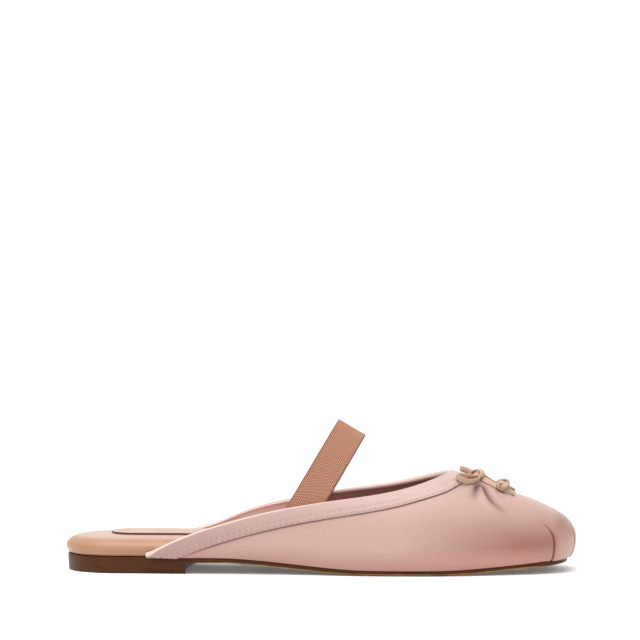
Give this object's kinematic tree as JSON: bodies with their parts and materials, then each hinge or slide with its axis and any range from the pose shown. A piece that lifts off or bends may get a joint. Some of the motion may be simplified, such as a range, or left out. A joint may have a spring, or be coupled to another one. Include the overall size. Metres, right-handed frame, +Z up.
{
  "type": "ballet flat",
  "caption": "Backless ballet flat for the right foot: satin upper with bound topline, elastic instep strap, small lace bow, padded footbed, thin leather outsole and low heel.",
  "frame": {"origin": "middle of the shoe's box on the floor it stands on", "axes": "+X towards the toe, +Y towards the inner (medial) side, +Z up"},
  "size_m": [0.2494, 0.0798, 0.0737],
  "materials": {
    "satin": "dusty pink satin with a soft sheen",
    "binding": "folded satin binding, slightly paler",
    "elastic": "matte terracotta woven elastic",
    "footbed_leather": "smooth tan leather",
    "sock_leather": "smooth pale pink leather",
    "sole_leather": "dark brown leather with a burnished edge",
    "lace_leather": "matte tan leather lace"
  },
  "bodies": {
    "root": {"upper": "satin", "topline_band": "binding", "instep_strap": "elastic", "footbed": "footbed_leather", "sock_lining": "sock_leather", "outsole": "sole_leather", "heel": "sole_leather", "bow_knot": "lace_leather", "bow_loop_lateral": "lace_leather", "bow_loop_medial": "lace_leather", "bow_tail_lateral": "lace_leather", "bow_tail_medial": "lace_leather", "bow_end_knot_lateral": "lace_leather", "bow_end_knot_medial": "lace_leather", "bow_end_lateral": "lace_leather", "bow_end_medial": "lace_leather"}
  },
  "joints": []
}
